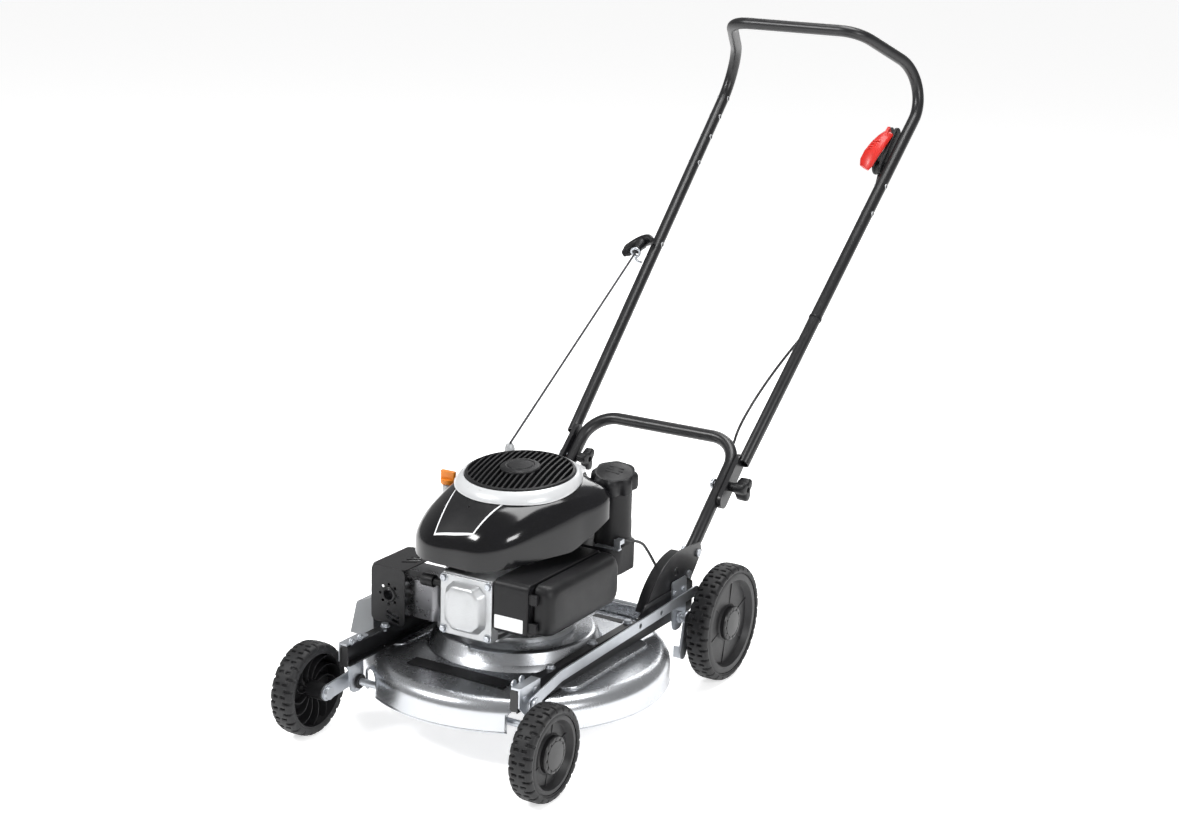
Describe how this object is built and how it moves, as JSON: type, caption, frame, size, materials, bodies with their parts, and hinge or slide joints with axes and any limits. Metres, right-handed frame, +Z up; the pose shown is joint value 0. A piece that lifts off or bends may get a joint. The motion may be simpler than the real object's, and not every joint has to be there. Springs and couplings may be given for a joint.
{
  "type": "push lawn mower",
  "caption": "Walk-behind lawn mower: round pressed deck on height-adjustable wheels, vertical-shaft engine, swinging blades and a folding looped tube handle.",
  "frame": {"origin": "on the ground, in the middle of the mower's overall length and width", "axes": "+Z up, -Y is the front, +X is the operator's left"},
  "size_m": [0.5088, 1.436, 1.0715],
  "materials": {
    "silver_paint": "satin silver powder coat on the pressed deck",
    "black_paint": "satin black paint on tube and pressed steel",
    "zinc": "bright zinc-plated pressings and fasteners",
    "cast_alloy": "rough cast aluminium",
    "shroud_gloss": "gloss black moulded housing",
    "trim_white": "light silver-white trim",
    "grille_plastic": "matt black moulded plastic",
    "heat_black": "matt heat-resistant black",
    "muffler_steel": "bare muffler steel",
    "foam": "filter foam",
    "blade_steel": "plain blade steel",
    "shaft_steel": "ground steel",
    "tyre_black": "matt black tread",
    "rim_plastic": "moulded black wheel centre",
    "cap_plastic": "moulded hub cap",
    "knob_plastic": "moulded knob",
    "lever_red": "red moulded lever",
    "dip_orange": "orange moulded cap",
    "chute_grey": "satin grey moulding",
    "cord_black": "black cable outer",
    "rope_nylon": "braided nylon",
    "nylon_bush": "black nylon"
  },
  "bodies": {
    "chassis": {"air_filter_base": "grille_plastic", "air_filter_element": "foam", "axle_bushes": "nylon_bush", "blower_housing": "shroud_gloss", "carburettor": "cast_alloy", "control_bracket": "zinc", "deck_shell": "silver_paint", "discharge_chute": "chute_grey", "engine_block": "cast_alloy", "frame_bolts": "zinc", "front_axle_brackets": "zinc", "fuel_tank": "grille_plastic", "handle_brackets": "black_paint", "left_rail": "black_paint", "lower_handle": "black_paint", "muffler": "muffler_steel", "muffler_guard": "heat_black", "rear_axle_brackets": "zinc", "rear_cross_member": "silver_paint", "right_rail": "black_paint", "rocker_cover": "cast_alloy", "rocker_cover_bolts": "zinc", "shroud_trim_ring": "trim_white", "spark_plug": "nylon_bush", "starter_grille": "grille_plastic", "starter_rope": "rope_nylon", "throttle_cable": "cord_black"},
    "front_axle": {"front_axle": "zinc"},
    "rear_axle": {"rear_axle": "zinc"},
    "height_bar": {"height_bar": "zinc"},
    "crank": {"crankshaft": "shaft_steel", "flywheel": "cast_alloy", "blade_disc": "blade_steel", "blade_bolts": "shaft_steel"},
    "upper_handle": {"upper_handle": "black_paint", "throttle_housing": "grille_plastic", "rope_guide": "zinc"},
    "throttle_lever": {"throttle_lever": "lever_red"},
    "left_knob": {"left_knob": "knob_plastic"},
    "right_knob": {"right_knob": "knob_plastic"},
    "starter_grip": {"starter_grip": "knob_plastic"},
    "fuel_cap": {"fuel_cap": "grille_plastic"},
    "dipstick": {"dipstick": "dip_orange"},
    "air_filter_cover": {"air_filter_cover": "grille_plastic"},
    "blade_1": {"blade_1": "blade_steel"},
    "blade_2": {"blade_2": "blade_steel"},
    "blade_3": {"blade_3": "blade_steel"},
    "blade_4": {"blade_4": "blade_steel"},
    "front_left_wheel": {"front_left_tyre": "tyre_black", "front_left_rim": "rim_plastic", "front_left_hub_cap": "cap_plastic"},
    "front_right_wheel": {"front_right_tyre": "tyre_black", "front_right_rim": "rim_plastic", "front_right_hub_cap": "cap_plastic"},
    "rear_left_wheel": {"rear_left_tyre": "tyre_black", "rear_left_rim": "rim_plastic", "rear_left_hub_cap": "cap_plastic"},
    "rear_right_wheel": {"rear_right_tyre": "tyre_black", "rear_right_rim": "rim_plastic", "rear_right_hub_cap": "cap_plastic"}
  },
  "joints": [
    {"name": "front_axle_turn", "type": "hinge", "parent": "chassis", "child": "front_axle", "pos_m": [0, -0.581, 0.0805], "axis": [1, 0, 0], "range_deg": [-35, 12]},
    {"name": "bar_pivot", "type": "hinge", "parent": "front_axle", "child": "height_bar", "pos_m": [0.1775, -0.607, 0.133], "axis": [1, 0, 0], "range_deg": [-12, 35]},
    {"name": "rear_axle_turn", "type": "hinge", "parent": "chassis", "child": "rear_axle", "pos_m": [0, -0.127, 0.124], "axis": [1, 0, 0], "range_deg": [-10, 30]},
    {"name": "front_left_wheel_spin", "type": "hinge", "parent": "front_axle", "child": "front_left_wheel", "pos_m": [0.2, -0.641, 0.0762], "axis": [1, 0, 0], "continuous": true},
    {"name": "front_right_wheel_spin", "type": "hinge", "parent": "front_axle", "child": "front_right_wheel", "pos_m": [-0.2, -0.641, 0.0762], "axis": [1, 0, 0], "continuous": true},
    {"name": "rear_left_wheel_spin", "type": "hinge", "parent": "rear_axle", "child": "rear_left_wheel", "pos_m": [0.2, -0.049, 0.1016], "axis": [1, 0, 0], "continuous": true},
    {"name": "rear_right_wheel_spin", "type": "hinge", "parent": "rear_axle", "child": "rear_right_wheel", "pos_m": [-0.2, -0.049, 0.1016], "axis": [1, 0, 0], "continuous": true},
    {"name": "crank_spin", "type": "hinge", "parent": "chassis", "child": "crank", "pos_m": [0, -0.373, 0.1], "axis": [0, 0, 1], "continuous": true},
    {"name": "blade_1_swing", "type": "hinge", "parent": "crank", "child": "blade_1", "pos_m": [0.06223, -0.31077, 0.0977], "axis": [0, 0, 1], "range_deg": [-80, 80]},
    {"name": "blade_2_swing", "type": "hinge", "parent": "crank", "child": "blade_2", "pos_m": [-0.06223, -0.31077, 0.0977], "axis": [0, 0, 1], "range_deg": [-80, 80]},
    {"name": "blade_3_swing", "type": "hinge", "parent": "crank", "child": "blade_3", "pos_m": [-0.06223, -0.43523, 0.0977], "axis": [0, 0, 1], "range_deg": [-80, 80]},
    {"name": "blade_4_swing", "type": "hinge", "parent": "crank", "child": "blade_4", "pos_m": [0.06223, -0.43523, 0.0977], "axis": [0, 0, 1], "range_deg": [-80, 80]},
    {"name": "handle_fold", "type": "hinge", "parent": "chassis", "child": "upper_handle", "pos_m": [0, 0.046, 0.312], "axis": [1, 0, 0], "range_deg": [0, 130], "deforming": ["throttle_cable", "starter_rope"]},
    {"name": "left_knob_turn", "type": "hinge", "parent": "chassis", "child": "left_knob", "pos_m": [0.188, 0.046, 0.312], "axis": [1, 0, 0], "continuous": true},
    {"name": "right_knob_turn", "type": "hinge", "parent": "chassis", "child": "right_knob", "pos_m": [-0.127, 0.046, 0.312], "axis": [1, 0, 0], "continuous": true},
    {"name": "throttle_lever_turn", "type": "hinge", "parent": "upper_handle", "child": "throttle_lever", "pos_m": [0.18, 0.63841, 0.85105], "axis": [1, 0, 0], "range_deg": [-14, 30]},
    {"name": "starter_pull", "type": "slide", "parent": "upper_handle", "child": "starter_grip", "axis": [-0.1969, 0.9342, 0.2975], "range_m": [0, 0.35], "stiffness_N_per_m": 15, "springref_m": -0.5},
    {"name": "fuel_cap_turn", "type": "hinge", "parent": "chassis", "child": "fuel_cap", "pos_m": [0.115, -0.266, 0.39], "axis": [0, 0, 1], "range_deg": [0, 90]},
    {"name": "dipstick_pull", "type": "slide", "parent": "chassis", "child": "dipstick", "axis": [0, 0, 1], "range_m": [0, 0.12]},
    {"name": "air_filter_cover_pull", "type": "slide", "parent": "chassis", "child": "air_filter_cover", "axis": [1, 0, 0], "range_m": [0, 0.08]}
  ],
  "couplings": [
    {"joint": "bar_pivot", "follows": "front_axle_turn", "ratio": -1}
  ]
}
